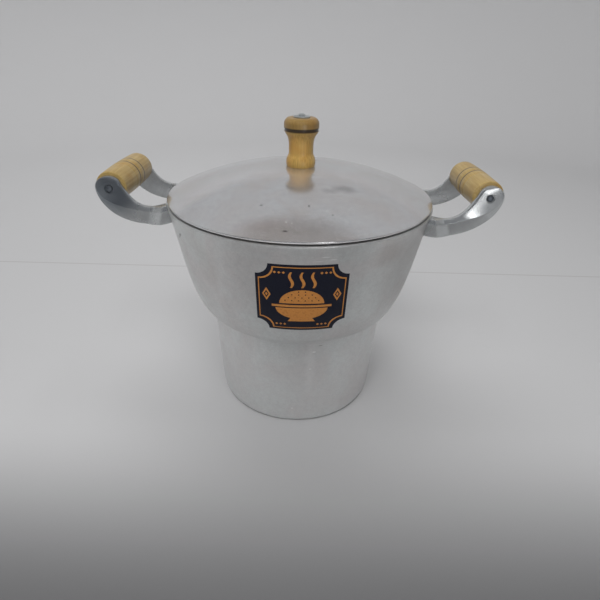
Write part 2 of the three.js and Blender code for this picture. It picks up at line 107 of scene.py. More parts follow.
def away_from(tree, value, line):
    """How far a value is from a line, on either side of it."""
    offset = add_node(tree, "ShaderNodeMath", {"operation": "SUBTRACT", 1: line}, {0: value})
    return add_node(tree, "ShaderNodeMath", {"operation": "ABSOLUTE"}, {0: offset})


def give_surface(tree, settings, links):
    """Ends a material: how it shines, with the colour and the relief that were worked out."""
    shader = add_node(tree, "ShaderNodeBsdfPrincipled", settings, links)
    add_node(tree, "ShaderNodeOutputMaterial", links={"Surface": shader.outputs["BSDF"]})


def soften(mesh):
    """Makes a mesh smooth but for its sharp edges."""
    mesh.shade_smooth()
    mesh.set_sharp_from_angle(angle=math.radians(35))


def mesh_piece(name, made, material):
    """Turns a finished bmesh into an object."""
    mesh = bpy.data.meshes.new(name)
    bmesh.ops.recalc_face_normals(made, faces=made.faces)
    made.to_mesh(mesh)
    made.free()
    soften(mesh)
    mesh.materials.append(material)
    piece = bpy.data.objects.new(name, mesh)
    bpy.context.scene.collection.objects.link(piece)
    return piece


def skin(rows, ring=True, loop=False, caps=False):
    """A mesh over rows of points; a row of one point is a pole. Ring closes each row, loop joins the last
    row to the first, and caps close both ends."""
    made = bmesh.new()
    count = max(len(row) for row in rows)
    placed = []
    for row in rows:
        verts = [made.verts.new(point) for point in row]
        placed.append(verts if len(verts) == count else verts * count)
    for row, after in zip(placed, placed[1:] + placed[:1] if loop else placed[1:]):
        for index in range(count if ring else count - 1):
            beside = (index + 1) % count
            corners = dict.fromkeys((row[index], row[beside], after[beside], after[index]))
            if len(corners) > 2:
                made.faces.new(list(corners))
    if caps:
        made.faces.new(placed[0])
        made.faces.new(placed[-1])
    return made


def even_steps(first, last, steps):
    """Even steps from the first value to the last, with both of them."""
    return [first + (last - first) * step / steps for step in range(steps + 1)]


def arc_points(centre, radius, first, last, steps):
    """Points on an arc, or on part of an ellipse where the radius is a pair; angles in degrees."""
    wide, tall = radius if isinstance(radius, tuple) else (radius, radius)
    points = []
    for turn in map(math.radians, even_steps(first, last, steps)):
        points.append((centre[0] + wide * math.cos(turn), centre[1] + tall * math.sin(turn)))
    return points


def even_outline(radius, sides, centre=(0, 0), first=0):
    """The corners of an even polygon, the first of them at an angle in degrees."""
    return arc_points(centre, radius, first, first + 360 - 360 / sides, sides - 1)


def turned(profile, facets):
    """A profile of (radius, height) points spun round Z. It starts and ends on the axis, or closes."""
    closed = (Vector(profile[0]) - Vector(profile[-1])).length < 1e-7
    rows = []
    for radius, height in profile[:-1] if closed else profile:
        ring = even_outline(radius, facets) if radius > 1e-7 else [(0, 0)]
        rows.append([(*corner, height) for corner in ring])
    return skin(rows, loop=closed)


def painted_plaster():
    """Matt wall paint: it scatters evenly, so it gives the metal a plain pale surround. A band in front
    of the pot is darker: a painted shadow on the floor. A thin line behind the pot is where two sheets of it
    meet."""
    shade_band_start, shade_band_darkest, shade_band_end = -0.085, -0.27, -0.46
    shade_band_half, shade_band_half_end = 0.24, 0.5
    line_back, line_width = 0.268, 0.0022
    material, tree, place = new_material("painted_plaster")
    parts = add_node(tree, "ShaderNodeSeparateXYZ", links={"Vector": place}).outputs
    sideways = away_from(tree, parts["X"], 0)
    shares = []
    for value, none, full in (
        (parts["Y"], shade_band_start, shade_band_darkest),
        (parts["Y"], shade_band_end, shade_band_darkest),
        (sideways, shade_band_half_end, shade_band_half),
    ):
        shares.append(add_node(tree, "ShaderNodeMapRange", {
            "interpolation_type": "SMOOTHSTEP", "From Min": none, "From Max": full,
        }, {"Value": value}))
    run = add_node(tree, "ShaderNodeMath", {"operation": "MULTIPLY"}, {0: shares[0], 1: shares[1]})
    painted_shade_band = add_node(tree, "ShaderNodeMath", {"operation": "MULTIPLY"}, {0: run, 1: shares[2]})
    # Painted shade: the floor in front of the pot is painted darker, as if something shaded it.
    colour = tinted(tree, "#C5C5C6", "#69696A", painted_shade_band, 0, 1)
    seam = away_from(tree, parts["Y"], line_back)
    colour = tinted(tree, colour, "#7A6E6C", seam, line_width, line_width / 3, 0.25)
    give_surface(tree, {"Roughness": 0.8, "Specular IOR Level": 0.2}, {"Base Color": colour})
    return material


floor_sweep = arc_points((floor_radius, sweep_radius - floor_drop), sweep_radius, -90, 0, 16)
studio_profile = [(0, -floor_drop), *floor_sweep, (floor_radius + sweep_radius, wall_top)]
floor = mesh_piece("studio_floor", turned(studio_profile, 96), painted_plaster())

world = bpy.data.worlds.new("soft_sky")
bpy.context.scene.world = world
world.use_nodes = True
sky = world.node_tree
sky_way = add_node(sky, "ShaderNodeTexCoord").outputs["Generated"]
sky_parts = add_node(sky, "ShaderNodeSeparateXYZ", links={"Vector": sky_way})
sky_colour = tinted(sky, "#A6A7A9", "#7C7673", sky_parts.outputs["Z"], 0.83, 0.91)
sky.links.new(sky_colour, sky.nodes["Background"].inputs["Color"])
world.cycles_visibility.diffuse = False


def soft_light(name, place, target, width, height, power, mirrored):
    """A rectangular softbox that faces its target. It lights the pieces, or only shines in polished metal."""
    lamp = bpy.data.lights.new(name, "AREA")
    lamp.shape = "RECTANGLE"
    lamp.size = width
    lamp.size_y = height
    lamp.energy = power
    light = bpy.data.objects.new(name, lamp)
    light.location = place
    light.rotation_euler = (Vector(target) - Vector(place)).to_track_quat("-Z", "Y").to_euler()
    light.visible_glossy = mirrored
    light.visible_diffuse = not mirrored
    bpy.context.scene.collection.objects.link(light)


soft_light("front_softbox", (-0.08, -0.8, 1.35), (0, 0, 0.1), 0.9, 0.6, 10.5, False)
soft_light("fill_softbox", (-0.1, -0.95, 0.5), (0, 0, 0.06), 0.7, 0.3, 2.2, False)
soft_light("ceiling_softbox", (-0.3, 0.65, 1.8), (-0.15, 1.25, 0.25), 2.0, 1.2, 24, False)
soft_light("small_lamp", (0.3, -0.8, 1.25), (0, 0, 0.2), 0.16, 0.16, 0.35, True)
soft_light("window_strip", (0.225, -0.62, 0.235), (0.155, -0.04, 0.222), 0.14, 0.11, 0.34, True)


def dim_glowing_flag():
    """A sheet that glows dim grey, though it is no lamp: a painted reflection that gives the front of the
    arms something dark to mirror, as a dim room does.
    """
    material, tree, _ = new_material("grey_glowing_flag")
    glow = add_node(tree, "ShaderNodeEmission", {"Color": hex_colour("#3E424B")})
    add_node(tree, "ShaderNodeOutputMaterial", links={"Surface": glow})
    return material


flag_radius, flag_bottom, flag_top, flag_half = 0.85, 0.02, 0.95, 65
flag_rows = []
for stand in arc_points((0, 0), flag_radius, -90 - flag_half, -90 + flag_half, 24):
    flag_rows.append([(*stand, flag_bottom), (*stand, flag_top)])
# The flag glows dim grey and shows only in reflections: a painted reflection of a dim room.
flag = mesh_piece("front_flag", skin(flag_rows, ring=False), dim_glowing_flag())
flag.visible_camera = False
flag.visible_diffuse = False
flag.visible_shadow = False

camera_data = bpy.data.cameras.new("camera")
camera_data.sensor_width = 36
camera_data.lens = 27
camera = bpy.data.objects.new("camera", camera_data)
camera_pitch = math.radians(30.04)
camera_roll = math.radians(1.5)
camera.location = (0.00254, -0.40905, 0.3318)
look = Matrix.Rotation(math.radians(90) - camera_pitch, 3, "X") @ Matrix.Rotation(camera_roll, 3, "Z")
camera.rotation_euler = look.to_euler()
bpy.context.scene.collection.objects.link(camera)
bpy.context.scene.camera = camera
bpy.context.scene.view_settings.view_transform = "Standard"

# Pot
# One aluminium casting: a narrow pot for the water that steps out at a crease into a tall bowl. It is
# cast in sand, then skimmed on a lathe and buffed, so it has a soft grey shine with faint rings.
rim_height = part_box("pot_body")[1].z
rim_radius = 0.12
rim_round = 0.0011
shoulder_height = 0.1025
shoulder_radius = 0.0855
shoulder_fillet = 0.004
base_radius = 0.0795
base_corner = 0.007
wall = 0.0035
floor_thickness = 0.004
inner_corner = 0.006
ledge_share = 0.05
ledge_round = 0.0006
rim_inset = 0.0002
bowl_start_share = 0.07
turned_facets = 256


def bezier(controls, share):
    """The point and the direction of a cubic curve at a share of its run."""
    a, b, c, d = controls
    rest = 1 - share
    point = a * rest**3 + b * 3 * rest**2 * share + c * 3 * rest * share**2 + d * share**3
    slope = (b - a) * rest**2 + (c - b) * 2 * rest * share + (d - c) * share**2
    return point, slope.normalized()


bowl_spread = rim_radius - shoulder_radius
bowl_rise = rim_height - shoulder_height
bowl_shares = [(0, 0), (0.63, 0.02), (0.75, 0.7), (1, 1)]
bowl_controls = [
    Vector((shoulder_radius + out * bowl_spread, shoulder_height + up * bowl_rise)) for out, up in bowl_shares
]


def bowl_point(share, inset=0.0):
    """Radius and height on the bowl's outside, or that far inside it, square to the surface."""
    point, slope = bezier(bowl_controls, share)
    return Vector((point.x - inset * slope.y, point.y + inset * slope.x))


def last_share(test, high=1.0):
    """The last share of a run at which a test still holds."""
    low = 0.0
    for _ in range(40):
        middle = (low + high) / 2
        if test(middle):
            low = middle
        else:
            high = middle
    return low


def bowl_share(height, inset=0.0):
    """The share of the bowl's run where it reaches a height."""
    return last_share(lambda share: bowl_point(share, inset).y < height)


def bowl_run(first, last, steps, inset=0.0):
    """Points along the bowl from one share of its run to another."""
    return [bowl_point(share, inset) for share in even_steps(first, last, steps)]


def rounded(corners, steps=6):
    """A profile whose (radius, height, fillet) corners are rounded by true arcs. One without a fillet, or
    at either end, stays sharp."""
    points = []
    for index, (radius, height, *fillet) in enumerate(corners):
        corner = Vector((radius, height))
        if not fillet or index in (0, len(corners) - 1):
            points.append(corner)
            continue
        back = Vector(corners[index - 1][:2]) - corner
        ahead = Vector(corners[index + 1][:2]) - corner
        half = back.angle(ahead) / 2
        reach = min(fillet[0] / math.tan(half), 0.49 * back.length, 0.49 * ahead.length)
        centre = corner + (back.normalized() + ahead.normalized()).normalized() * reach / math.cos(half)
        start = corner + back.normalized() * reach - centre
        end = corner + ahead.normalized() * reach - centre
        sweep = start.angle_signed(end)
        for turn in even_steps(0, -sweep, steps):
            points.append(centre + Matrix.Rotation(turn, 2) @ start)
    return points


def cast_aluminium(name, tone, shine, ring_depth, marks=(), metal=0.75):
    """Cast aluminium, skimmed and buffed: soft grey reflections through a thin film of oxide, cloudy and
    mottled where the polish is uneven, with faint lathe rings. Marks are (place, size, colour, depth):
    real specks, scratches and stains, and also painted highlights, painted reflections and painted shade."""
    cloud, mottle, grain, ring, ragged = 0.045, 0.0045, 0.0014, 0.0012, 0.006
    grain_depth = 0.00003
    material, tree, place = new_material(name)
    clouds, mottles, grains = (
        add_node(tree, "ShaderNodeTexNoise", {
            "Scale": 1 / size, "Detail": detail, "Roughness": 0.6, "Distortion": bend,
        }, {"Vector": place})
        for size, detail, bend in ((cloud, 5, 0.6), (mottle, 4, 0), (grain, 2, 0))
    )
    colour = tinted(tree, tone[0], tone[1], clouds, 0.36, 0.64)
    colour = tinted(tree, colour, tone[2], mottles, 0.4, 0.72, 0.34)
    colour = tinted(tree, colour, tone[2], grains, 0.35, 0.7, 0.3)
    wander = add_node(tree, "ShaderNodeTexNoise", {"Scale": 1 / ragged, "Detail": 3}, {"Vector": place})
    ragged_place = add_node(tree, "ShaderNodeVectorMath", {
        "operation": "MULTIPLY_ADD", 1: (ragged,) * 3,
    }, {0: wander.outputs["Color"], 2: place})
    for centre, size, tint, depth in marks:
        large = min(size) > ragged / 3
        shift = ragged / 2 if large else 0
        away = add_node(tree, "ShaderNodeMapping", {
            "Scale": tuple(1 / side for side in size),
            "Location": tuple(-(middle + shift) / side for middle, side in zip(centre, size)),
        }, {"Vector": ragged_place if large else place})
        far = add_node(tree, "ShaderNodeVectorMath", {"operation": "LENGTH"}, {0: away})
        colour = tinted(tree, colour, tint, far.outputs["Value"], 1.0, 0.35, depth)
    parts = add_node(tree, "ShaderNodeSeparateXYZ", links={"Vector": place}).outputs
    flat = add_node(tree, "ShaderNodeCombineXYZ", links={"X": parts["X"], "Y": parts["Y"]})
    radius = add_node(tree, "ShaderNodeVectorMath", {"operation": "LENGTH"}, {0: flat})
    run = add_node(tree, "ShaderNodeMath", {"operation": "ADD"}, {0: radius.outputs["Value"], 1: parts["Z"]})
    rings = add_node(tree, "ShaderNodeTexNoise", {
        "noise_dimensions": "1D", "Scale": 1 / ring, "Detail": 3, "Roughness": 0.7,
    }, {"W": run})
    ring_bump = add_node(tree, "ShaderNodeBump", {"Strength": 0.2, "Distance": ring_depth}, {"Height": rings})
    grain_bump = add_node(tree, "ShaderNodeBump", {"Strength": 0.2, "Distance": grain_depth}, {
        "Height": grains, "Normal": ring_bump,
    })
    gloss = add_node(tree, "ShaderNodeMapRange", {
        "From Min": 0.3, "From Max": 0.7, "To Min": shine[0], "To Max": shine[1],
    }, {"Value": clouds})
    give_surface(tree, {"Metallic": metal}, {"Base Color": colour, "Roughness": gloss, "Normal": grain_bump})
    return material


# Dark specks and scratches. The brown is a real stain on the bowl and a painted reflection on the lid; the
# white is painted highlights, painted reflections and painted light.
speck, scratch, stain_and_painted_reflection, painted_highlight = "#34302D", "#5F5B57", "#8A7A70", "#FFFFFF"
wall_marks = [
    ((-0.0974, -0.0636, 0.1907), (0.0018, 0.0018, 0.0019), speck, 0.9),
    ((-0.0958, -0.066, 0.1925), (0.0014, 0.0014, 0.0015), speck, 0.8),
    ((-0.099, -0.06, 0.188), (0.0015, 0.0015, 0.0018), scratch, 0.8),
    # Painted highlights: three short white glints under the rim at the front.
    ((0.0205, -0.116, 0.198), (0.0045, 0.003, 0.0006), painted_highlight, 0.55),
    ((0.026, -0.1145, 0.1955), (0.004, 0.003, 0.0006), painted_highlight, 0.5),
    ((0.015, -0.116, 0.1945), (0.006, 0.003, 0.0005), painted_highlight, 0.35),
    # Brown stains on the bowl.
    ((0.0702, -0.0932, 0.1926), (0.02, 0.02, 0.016), stain_and_painted_reflection, 0.22),
    ((-0.0796, -0.0851, 0.1915), (0.018, 0.018, 0.022), stain_and_painted_reflection, 0.12),
    ((-0.0711, -0.0881, 0.1733), (0.016, 0.016, 0.022), stain_and_painted_reflection, 0.12),
    ((-0.0778, -0.0723, 0.1376), (0.016, 0.016, 0.02), stain_and_painted_reflection, 0.1),
    # Painted shade: the right side of the bowl darker.
    ((0.095, -0.065, 0.17), (0.05, 0.06, 0.06), "#7E7B79", 0.42),
    # Painted light: the whole lower body lighter.
    ((0, 0, 0.045), (0.2, 0.2, 0.09), painted_highlight, 0.25),
    # Painted reflection: a faint white streak down the front of the lower body.
    ((0.0132, -0.0827, 0.068), (0.006, 0.008, 0.045), painted_highlight, 0.16),
    # Painted highlights: small white glints on the lower body.
    ((0.0163, -0.083, 0.0898), (0.0022, 0.003, 0.0009), painted_highlight, 0.8),
    ((0.0134, -0.0825, 0.0699), (0.0015, 0.003, 0.0009), painted_highlight, 0.8),
    ((0.022, -0.082, 0.0965), (0.0025, 0.003, 0.0006), scratch, 0.5),
    # Painted highlight: a small white glint near the base.
    ((-0.0025, -0.0804, 0.0193), (0.0014, 0.003, 0.0009), painted_highlight, 0.7),
]
buffed_wall = cast_aluminium(
    "buffed_cast_aluminium", ("#DADDDC", "#D8D5D4", "#BDBDBD"), (0.32, 0.46), 0.00002, wall_marks
)
under_rim = rim_height - 2 * rim_round
pot_profile = rounded(
    [(0, 0), (base_radius, 0, base_corner), (shoulder_radius, shoulder_height, shoulder_fillet)]
    + bowl_run(bowl_start_share, bowl_share(under_rim), 40)
    + [(rim_radius - rim_inset, rim_height, rim_round)]
    + [(bowl_point(bowl_share(rim_height, wall), wall).x, rim_height, rim_round)]
    + bowl_run(bowl_share(under_rim, wall), ledge_share, 36, wall)
    + [(shoulder_radius - wall, bowl_point(ledge_share, wall).y, ledge_round)]
    + [(base_radius - wall, floor_thickness, inner_corner), (0, floor_thickness)]
)
pot = mesh_piece("cast_pot", turned(pot_profile, turned_facets), buffed_wall)
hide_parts("pot_body")
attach(pot, "pot")

# Label
# A printed vinyl sticker on the front of the bowl: a navy plaque with scooped corners, and on it in ochre
# a steaming bowl of couscous between two lozenges. It is pressed on, so it bends with the wall.
label_centre = (0.004, 0.159)
label_half_width = 0.036
label_half_height = 0.033
label_scoop = 0.01
label_scoop_share = 0.4
label_lift = 0.00003
label_thickness = 0.0001
print_thickness = 0.00003
label_cell = 0.0025
label_border_inset = 0.0022
label_border_width = 0.0008
bowl_cells = 400
bowl_lengths = [0.0]
bowl_points = bowl_run(0, 1, bowl_cells)
for lower, upper in zip(bowl_points, bowl_points[1:]):
    bowl_lengths.append(bowl_lengths[-1] + (upper - lower).length)
label_middle = bowl_lengths[round(bowl_share(label_centre[1]) * bowl_cells)]


def on_bowl(across, up, out):
    """A point of the flat sticker pressed on the bowl: across from its middle, up it and out of it."""
    run = label_middle + up
    index = min(max(bisect.bisect(bowl_lengths, run), 1), bowl_cells)
    part = (run - bowl_lengths[index - 1]) / (bowl_lengths[index] - bowl_lengths[index - 1])
    point = bowl_point((index - 1 + part) / bowl_cells, -out)
    turn = (label_centre[0] + across) / point.x
    return Vector((point.x * math.sin(turn), -point.x * math.cos(turn), point.y))


def plaque(inset):
    """The sticker's outline with its four scooped corners, that far inside its edge."""
    wide, tall = label_half_width - inset, label_half_height - inset
    scoop = label_scoop + inset * label_scoop_share
    points = []
    for corner_x, corner_y, first in ((1, 1, 270), (-1, 1, 360), (-1, -1, 90), (1, -1, 180)):
        points += arc_points((corner_x * wide, corner_y * tall), scoop, first, first - 90, 10)
    return points


def lozenge(x, y, wide, tall):
    """A lozenge on a point, from its half width and half height."""
    return [(x + wide, y), (x, y + tall), (x - wide, y), (x, y - tall)]


def steam(x, bottom, tall, sway, wide):
    """A wisp of steam: a wavy band that thins out towards its top."""
    left, right = [], []
    for share in even_steps(0, 1, 16):
        middle = x + sway * math.sin(2 * math.pi * share)
        half = wide * (0.35 + 0.65 * math.sin(math.pi * (0.15 + 0.75 * share)))
        left.append((middle - half, bottom + tall * share))
        right.append((middle + half, bottom + tall * share))
    return right + left[::-1]


def fill_outlines(made, outlines, height):
    """Fills flat outlines at a height: the first is the edge, and the others are holes."""
    edges = []
    for outline in outlines:
        corners = [made.verts.new((*corner, height)) for corner in outline]
        edges += [made.edges.new(ends) for ends in zip(corners, corners[1:] + corners[:1])]
    bmesh.ops.triangle_fill(made, edges=edges, use_beauty=True)


def thicken(made, depth):
    """Raises flat faces into a sheet that is as thick as the depth."""
    extruded = bmesh.ops.extrude_face_region(made, geom=made.faces[:])
    raised = [item for item in extruded["geom"] if isinstance(item, bmesh.types.BMVert)]
    bmesh.ops.translate(made, verts=raised, vec=(0, 0, depth))
    bmesh.ops.recalc_face_normals(made, faces=made.faces)


def pressed_on(name, shapes, bottom, top, material):
    """Fills the flat shapes, cuts them into cells, gives them thickness and bends them onto the bowl."""
    made = bmesh.new()
    for outlines in shapes:
        fill_outlines(made, outlines, 0)
    for axis, half in ((0, label_half_width), (1, label_half_height)):
        normal = Vector((1 - axis, axis, 0))
        for cell in range(1, int(2 * half / label_cell)):
            bmesh.ops.bisect_plane(
                made, geom=made.verts[:] + made.edges[:] + made.faces[:],
                plane_co=normal * (cell * label_cell - half), plane_no=normal,
            )
    bmesh.ops.triangulate(made, faces=[face for face in made.faces if len(face.verts) > 4])
    thicken(made, top - bottom)
    for vert in made.verts:
        vert.co = on_bowl(vert.co.x, vert.co.y, bottom + vert.co.z)
    return mesh_piece(name, made, material)


def printed_vinyl(name, ink, worn, wear):
    """Screen print on vinyl film: flat ink with a low sheen, rubbed a little paler in specks."""
    rub = 0.0016
    material, tree, place = new_material(name)
    rubs = add_node(tree, "ShaderNodeTexNoise", {
        "Scale": 1 / rub, "Detail": 4, "Roughness": 0.65,
    }, {"Vector": place})
    colour = tinted(tree, ink, worn, rubs, 0.5, 0.75, wear)
    give_surface(tree, {"IOR": 1.5, "Roughness": 0.45, "Specular IOR Level": 0.3}, {"Base Color": colour})
    return material


heap = arc_points((0, -0.0035), (0.0175, 0.0135), 0, 180, 24)
vessel_band = [(-0.0235, -0.005), (-0.0235, -0.0072), (0.0235, -0.0072), (0.0235, -0.005)]
vessel_foot = [(-0.0085, -0.0188), (0.0085, -0.0188), (0.011, -0.0226), (-0.011, -0.0226)]
print_shapes = [
    [plaque(label_border_inset), plaque(label_border_inset + label_border_width)],
    [vessel_foot],
    [arc_points((0, -0.0082), (0.0205, 0.0118), 360, 180, 28)],
    [vessel_band],
]
grain_rows = ((0.0082, 2), (0.0053, 4), (0.0024, 5), (-0.0005, 6))
grain_spacing, grain_radius = 0.0052, 0.0006
heap_holes = []
for up, count in grain_rows:
    for grain in range(count):
        across = (grain - (count - 1) / 2) * grain_spacing
        heap_holes.append(arc_points((across, up), grain_radius, 0, 315, 7))
print_shapes.append([heap, *heap_holes])
for wisp in (-1, 0, 1):
    print_shapes.append([steam(wisp * 0.0085, 0.012, 0.0145, 0.0012, 0.0012)])
nested_halves = ((0.0034, 0.0062), (0.002, 0.0037), (0.001, 0.0018))
for side in (-1, 1):
    outer, inner, heart = (lozenge(side * 0.0275, 0.0045, *halves) for halves in nested_halves)
    print_shapes += [[outer, inner], [heart]]
    for step in range(3):
        for first, up in ((0.0132, -0.0262), (0.0142, 0.0258)):
            print_shapes.append([lozenge(side * (first + 0.0033 * step), up, 0.0012, 0.0012)])
label_base = pressed_on(
    "label_base", [[plaque(0)]], label_lift, label_lift + label_thickness,
    printed_vinyl("navy_printed_vinyl", "#0D1020", "#252A3A", 0.25),
)
print_bottom = label_lift + label_thickness * 0.8
print_top = label_lift + label_thickness + print_thickness
label_print = pressed_on(
    "label_print", print_shapes, print_bottom, print_top,
    printed_vinyl("ochre_printed_vinyl", "#C08242", "#8F582B", 0.6),
)
for piece in (label_base, label_print):
    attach(piece, "pot")

# Handle arms
# Four S-shaped aluminium castings, two on each side. Each has a flared foot on the wall, a crease that
# runs along its outside, and a round lobe bored for the bolt of the grip, with a recess for its head.
grip_joint = next(joint for joint in frame["joints"] if joint["name"] == "right_grip_turn")
grip_axis = Vector(grip_joint["pos_m"])
grip_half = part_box("right_grip")[1].y
grip_side_gap = 0.0003
arm_inner = grip_half + grip_side_gap
arm_thickness = 0.006
arm_reach = 0.058
arm_root_height = 0.0148
arm_root_drop = 0.027
front_foot_lift = 0.0036
arm_top_inset = 0.0018
arm_lower_inset = 0.0024
lobe_radius = 0.01
lobe_reach = 0.0122
lobe_upper = math.radians(144)
lobe_lower = math.radians(-3)
foot_flare_out = 0.005
foot_flare_in = 0.003
foot_flare_length = 0.009
foot_gap = 0.0001
arm_edge_round = 0.0008
lobe_edge_round = 0.0022
lobe_crown = 0.0005
crease_root_share = 0.24
crease_climb = 0.66
arm_corner_steps = 4
spot_face_depth = 0.0018
bore_past = 0.004
head_recess_margin = 0.001
bolt_clearance = 0.0003
grip_bolt_radius = 0.002
bolt_head_radius = 0.0028
nut_radius = 0.004

arm_root = Vector((grip_axis.x - arm_reach, grip_axis.z - arm_root_drop))


def wall_radius(height):
    """The radius of the bowl's outside at a height."""
    return bowl_point(bowl_share(height)).x


def arm_edge(start, controls, end):
    """An arm's edge: the controls are shares of its reach and of its drop."""
    first, second = (
        Vector((arm_root.x + arm_reach * out, start.y + arm_root_drop * up)) for out, up in controls
    )
    return [start, first, second, end]


def lobe_point(angle):
    """A point on the round end of an arm, whose outer half is drawn out a little."""
    reach = lobe_reach if math.cos(angle) > 0 else lobe_radius
    return Vector((grip_axis.x + reach * math.cos(angle), grip_axis.z + lobe_radius * math.sin(angle)))


upper_edge = arm_edge(
    arm_root + Vector((0, arm_root_height)), [(0.49, -0.31), (0.675, -0.305)], lobe_point(lobe_upper)
)
lower_edge = arm_edge(arm_root, [(0.555, -0.545), (1.19, 0.08)], lobe_point(lobe_lower))
foot_start = math.sqrt(rim_radius**2 - arm_inner**2)


def lift_at(out, foot_lift):
    """How far an arm is lifted at a distance from the axis: all of it at its root, none at the bolt."""
    return foot_lift * min(max((grip_axis.x - out) / arm_reach, 0), 1)


def smooth_share(value, low, high):
    """A share that eases from 0 at low to 1 at high."""
    share = min(max((value - low) / (high - low), 0), 1)
    return share * share * (3 - 2 * share)


def arm_section(run, foot_lift):
    """The closed section of an arm: run goes from 0 at the wall to 1 at the lobe and 2 at its tip."""
    if run <= 1:
        upper = bezier(upper_edge, run)[0]
        lower = bezier(lower_edge, run)[0]
        crease_share = crease_root_share + crease_climb * smooth_share(run, 0.5, 1)
    else:
        sweep = (lobe_upper - lobe_lower) / 2 * (run - 1)
        upper = lobe_point(lobe_upper - sweep)
        lower = lobe_point(lobe_lower + sweep)
        crease_share = crease_root_share + crease_climb
    upper.y += lift_at(upper.x, foot_lift)
    lower.y += lift_at(lower.x, foot_lift)
    flare = min(max(1 - (upper.x - foot_start) / foot_flare_length, 0), 1)
    inner = arm_inner - foot_flare_in * flare
    outer = arm_inner + arm_thickness + foot_flare_out * flare
    height = (upper - lower).length
    fillet = min(arm_edge_round, height * 0.3)
    soft = fillet + (min(lobe_edge_round, height * 0.3) - fillet) * smooth_share(run, 0.5, 1)
    crown = lobe_crown * smooth_share(run, 0.6, 1)
    corners = [
        (inner, 0, fillet),
        (outer - arm_top_inset, 0, soft),
        (outer - arm_top_inset * 0.5 + crown, crease_share * height / 2),
        (outer, crease_share * height, fillet * 0.6),
        (outer - arm_lower_inset, height, fillet),
        (inner, height, fillet),
    ]
    loop = rounded([corners[-1], *corners, corners[0]], arm_corner_steps)[1:-1]
    down = (lower - upper) / height
    return [Vector((upper.x + down.x * along, -across, upper.y + down.y * along)) for across, along in loop]


def wall_crossing(line, foot_lift):
    """The run at which one line along the arm leaves the wall."""

    def within_wall(run):
        point = arm_section(run, foot_lift)[line]
        return math.hypot(point.x, point.y) < wall_radius(point.z) + foot_gap

    return last_share(within_wall, 0.9)


def arm_mesh(foot_lift):
    """An arm as it stands at the front right, closed at the wall and at the lobe's tip."""
    blend_run, blend_steps, plain_steps, lobe_steps, tip = 0.62, 26, 16, 18, 0.985
    starts = [wall_crossing(line, foot_lift) for line in range(len(arm_section(0, foot_lift)))]
    rows = []
    for step in range(blend_steps):
        runs = [start + (blend_run - start) * step / blend_steps for start in starts]
        rows.append([arm_section(run, foot_lift)[line] for line, run in enumerate(runs)])
    rows += [arm_section(run, foot_lift) for run in even_steps(blend_run, 1, plain_steps)]
    for step in range(1, lobe_steps + 1):
        rows.append(arm_section(1 + tip * math.sin(math.pi / 2 * step / lobe_steps), foot_lift))
    return skin(rows, caps=True)


def combine(piece, other, operation):
    """Cuts another mesh out of a piece, or joins it to the piece, and removes the other."""
    modifier = piece.modifiers.new("combine", "BOOLEAN")
    modifier.operation = operation
    modifier.solver = "EXACT"
    modifier.object = other
    evaluated = piece.evaluated_get(bpy.context.evaluated_depsgraph_get())
    mesh = bpy.data.meshes.new_from_object(evaluated)
    piece.modifiers.remove(modifier)
    piece.data = mesh
    bpy.data.objects.remove(other)
    soften(mesh)


def along_y(x, z):
    """Lays a piece that was turned round Z along -Y, at a place in the middle plane."""
    return Matrix.Translation((x, 0, z)) @ Matrix.Rotation(math.radians(90), 4, "X")


fettled_arm = cast_aluminium(
    "fettled_cast_aluminium", ("#D2D5D5", "#C0C2C3", "#9EA0A2"), (0.2, 0.32), 0.00001,
    # Painted reflection: the left front lobe dark blue-grey, as if it mirrored a dark room.
    [((-0.158, -0.0415, 0.217), (0.03, 0.012, 0.026), "#4B5662", 0.7)],
)
arm_outer = arm_inner + arm_thickness
arm_seat = arm_outer - spot_face_depth
bore = grip_bolt_radius + bolt_clearance
bore_end = arm_outer + bore_past
sides = (("left", -1), ("right", 1))
ends = (("front", -1, bolt_head_radius + head_recess_margin), ("rear", 1, nut_radius + bolt_clearance))
arm_corners = []
for side, sign_x in sides:
    for end, sign_y, recess in ends:
        foot_lift = -sign_x * front_foot_lift if end == "front" else 0
        arm_corners.append((f"{side}_{end}", sign_x, sign_y, foot_lift))
        bore_profile = [(0, 0), (bore, 0), (bore, arm_seat), (recess, arm_seat)]
        bore_profile += [(recess, bore_end), (0, bore_end)]
        cutter = mesh_piece("bolt_bore", turned(bore_profile, 48), fettled_arm)
        cutter.data.transform(along_y(grip_axis.x, grip_axis.z))
        arm = mesh_piece(f"{side}_{end}_handle_arm", arm_mesh(foot_lift), fettled_arm)
        combine(arm, cutter, "DIFFERENCE")
        arm.data.transform(Matrix.Diagonal((sign_x, -sign_y, 1, 1)))
        if sign_x == sign_y:
            arm.data.flip_normals()
        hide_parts(f"{side}_{end}_arm")
        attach(arm, "pot")

# Rivets
# Two aluminium rivets hold each arm. They are driven from inside the pot, through the wall and into
# blind holes in the foot, so only their low round heads show, and only with the lid off.
rivet_radius = 0.0016
rivet_head_radius = 0.0024
rivet_head_height = 0.0014
rivet_grip = 0.004
rivet_spacing = 0.0052
rivet_inset = 0.0032
rivet_seat_gap = 0.0003
rivet_head_gap = 0.0002
skirt_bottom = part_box("lid_plate")[0].z


def edge_height(curve, out):
    """The height at which an arm's edge curve passes a distance from the axis."""
    return bezier(curve, last_share(lambda share: bezier(curve, share)[0].x < out))[0].y


def wall_lean(height):
    """How far the bowl's outside leans out from upright at a height."""
    slope = bezier(bowl_controls, bowl_share(height))[1]
    return math.atan2(slope.x, slope.y)


